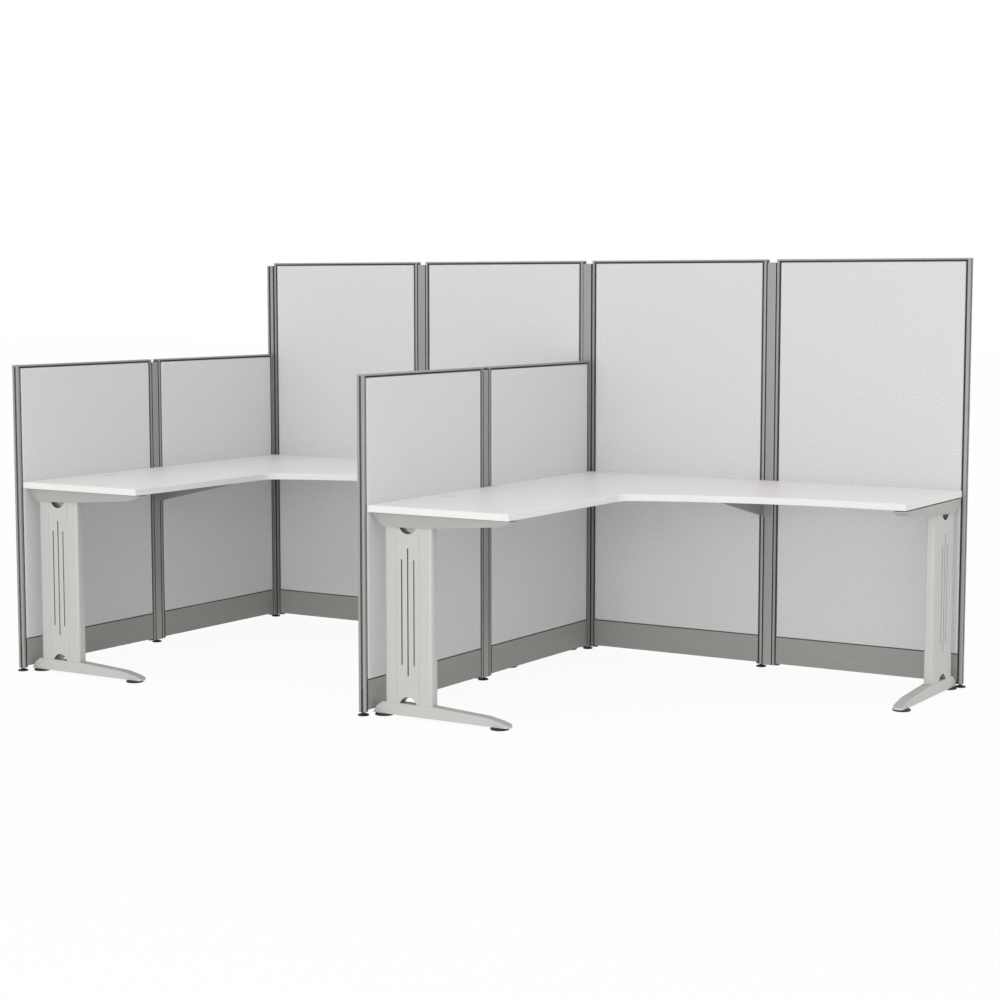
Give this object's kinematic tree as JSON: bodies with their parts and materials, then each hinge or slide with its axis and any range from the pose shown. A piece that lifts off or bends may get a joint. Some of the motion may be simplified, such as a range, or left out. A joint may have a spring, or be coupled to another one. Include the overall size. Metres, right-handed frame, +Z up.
{
  "type": "cubicle workstation",
  "caption": "Free-standing workstation with fabric-tiled slotted-frame screens, a lower divider and side wall, and L-shaped desktops on C-shaped pressed legs.",
  "frame": {"origin": "centre of the outer box, on the floor", "axes": "+X to the right along the back wall as seen by someone who faces it, +Y towards the back wall, +Z up"},
  "size_m": [3.29, 1.65, 1.608],
  "materials": {
    "frame_aluminium": "satin silver-grey anodised extrusion",
    "tile_fabric": "fine plain-weave light grey cloth stretched over a board",
    "core_board": "plain board, hidden between the tiles",
    "kick_steel": "matt grey powder coat",
    "desktop_laminate": "board faced and edged in matt off-white laminate",
    "leg_steel": "fine silver powder coat",
    "bracket_steel": "fine silver powder coat",
    "zinc_steel": "zinc-plated",
    "black_plastic": "black moulded, matt",
    "cap_plastic": "grey moulded, matt",
    "grommet_plastic": "off-white moulded, matt",
    "pad_rubber": "black, matt"
  },
  "bodies": {
    "workstation": {"back_kick_plates": "kick_steel", "back_post_left": "frame_aluminium", "back_post_right": "frame_aluminium", "back_screen_1_frame": "frame_aluminium", "back_screen_1_tiles": "tile_fabric", "back_screen_2_frame": "frame_aluminium", "back_screen_2_tiles": "tile_fabric", "back_screen_3_frame": "frame_aluminium", "back_screen_3_tiles": "tile_fabric", "back_screen_4_frame": "frame_aluminium", "back_screen_4_tiles": "tile_fabric", "cable_grommets": "grommet_plastic", "corner_post": "frame_aluminium", "desk_brackets": "bracket_steel", "desk_pads": "pad_rubber", "desk_screws": "zinc_steel", "divider_post": "frame_aluminium", "divider_screen_front_frame": "frame_aluminium", "divider_screen_front_tiles": "tile_fabric", "divider_screen_rear_frame": "frame_aluminium", "divider_screen_rear_tiles": "tile_fabric", "foot_inserts": "black_plastic", "left_desktop": "desktop_laminate", "left_end_leg_frame": "leg_steel", "left_end_leg_front_cover": "leg_steel", "left_return_leg_frame": "leg_steel", "left_return_leg_front_cover": "leg_steel", "left_screen_front_frame": "frame_aluminium", "left_screen_front_tiles": "tile_fabric", "left_screen_rear_frame": "frame_aluminium", "left_screen_rear_tiles": "tile_fabric", "left_wall_post": "frame_aluminium", "leg_rear_covers": "leg_steel", "link_strips": "zinc_steel", "post_caps": "cap_plastic", "right_desktop": "desktop_laminate", "right_end_leg_frame": "leg_steel", "right_end_leg_front_cover": "leg_steel", "right_return_leg_frame": "leg_steel", "right_return_leg_front_cover": "leg_steel", "screen_cores": "core_board", "side_kick_plates": "kick_steel", "tee_post": "frame_aluminium"},
    "foot_back_left_body": {"foot_back_left": "black_plastic"},
    "foot_back_right_body": {"foot_back_right": "black_plastic"},
    "foot_corner_body": {"foot_corner": "black_plastic"},
    "foot_divider_end_body": {"foot_divider_end": "black_plastic"},
    "foot_divider_middle_body": {"foot_divider_middle": "black_plastic"},
    "foot_left_end_body": {"foot_left_end": "black_plastic"},
    "foot_left_middle_body": {"foot_left_middle": "black_plastic"},
    "foot_right_end_body": {"foot_right_end": "black_plastic"},
    "foot_tee_body": {"foot_tee": "black_plastic"},
    "left_end_leg_front_glide_body": {"left_end_leg_front_glide": "black_plastic"},
    "left_end_leg_rear_glide_body": {"left_end_leg_rear_glide": "black_plastic"},
    "left_return_leg_front_glide_body": {"left_return_leg_front_glide": "black_plastic"},
    "left_return_leg_rear_glide_body": {"left_return_leg_rear_glide": "black_plastic"},
    "right_end_leg_front_glide_body": {"right_end_leg_front_glide": "black_plastic"},
    "right_end_leg_rear_glide_body": {"right_end_leg_rear_glide": "black_plastic"},
    "right_return_leg_front_glide_body": {"right_return_leg_front_glide": "black_plastic"},
    "right_return_leg_rear_glide_body": {"right_return_leg_rear_glide": "black_plastic"}
  },
  "joints": [
    {"name": "foot_back_left_screw", "type": "slide", "parent": "workstation", "child": "foot_back_left_body", "axis": [0, 0, -1], "range_m": [0, 0.015]},
    {"name": "foot_back_right_screw", "type": "slide", "parent": "workstation", "child": "foot_back_right_body", "axis": [0, 0, -1], "range_m": [0, 0.015]},
    {"name": "foot_corner_screw", "type": "slide", "parent": "workstation", "child": "foot_corner_body", "axis": [0, 0, -1], "range_m": [0, 0.015]},
    {"name": "foot_divider_end_screw", "type": "slide", "parent": "workstation", "child": "foot_divider_end_body", "axis": [0, 0, -1], "range_m": [0, 0.015]},
    {"name": "foot_divider_middle_screw", "type": "slide", "parent": "workstation", "child": "foot_divider_middle_body", "axis": [0, 0, -1], "range_m": [0, 0.015]},
    {"name": "foot_left_end_screw", "type": "slide", "parent": "workstation", "child": "foot_left_end_body", "axis": [0, 0, -1], "range_m": [0, 0.015]},
    {"name": "foot_left_middle_screw", "type": "slide", "parent": "workstation", "child": "foot_left_middle_body", "axis": [0, 0, -1], "range_m": [0, 0.015]},
    {"name": "foot_right_end_screw", "type": "slide", "parent": "workstation", "child": "foot_right_end_body", "axis": [0, 0, -1], "range_m": [0, 0.015]},
    {"name": "foot_tee_screw", "type": "slide", "parent": "workstation", "child": "foot_tee_body", "axis": [0, 0, -1], "range_m": [0, 0.015]},
    {"name": "left_end_leg_front_glide_screw", "type": "slide", "parent": "workstation", "child": "left_end_leg_front_glide_body", "axis": [0, 0, -1], "range_m": [0, 0.01]},
    {"name": "left_end_leg_rear_glide_screw", "type": "slide", "parent": "workstation", "child": "left_end_leg_rear_glide_body", "axis": [0, 0, -1], "range_m": [0, 0.01]},
    {"name": "left_return_leg_front_glide_screw", "type": "slide", "parent": "workstation", "child": "left_return_leg_front_glide_body", "axis": [0, 0, -1], "range_m": [0, 0.01]},
    {"name": "left_return_leg_rear_glide_screw", "type": "slide", "parent": "workstation", "child": "left_return_leg_rear_glide_body", "axis": [0, 0, -1], "range_m": [0, 0.01]},
    {"name": "right_end_leg_front_glide_screw", "type": "slide", "parent": "workstation", "child": "right_end_leg_front_glide_body", "axis": [0, 0, -1], "range_m": [0, 0.01]},
    {"name": "right_end_leg_rear_glide_screw", "type": "slide", "parent": "workstation", "child": "right_end_leg_rear_glide_body", "axis": [0, 0, -1], "range_m": [0, 0.01]},
    {"name": "right_return_leg_front_glide_screw", "type": "slide", "parent": "workstation", "child": "right_return_leg_front_glide_body", "axis": [0, 0, -1], "range_m": [0, 0.01]},
    {"name": "right_return_leg_rear_glide_screw", "type": "slide", "parent": "workstation", "child": "right_return_leg_rear_glide_body", "axis": [0, 0, -1], "range_m": [0, 0.01]}
  ]
}
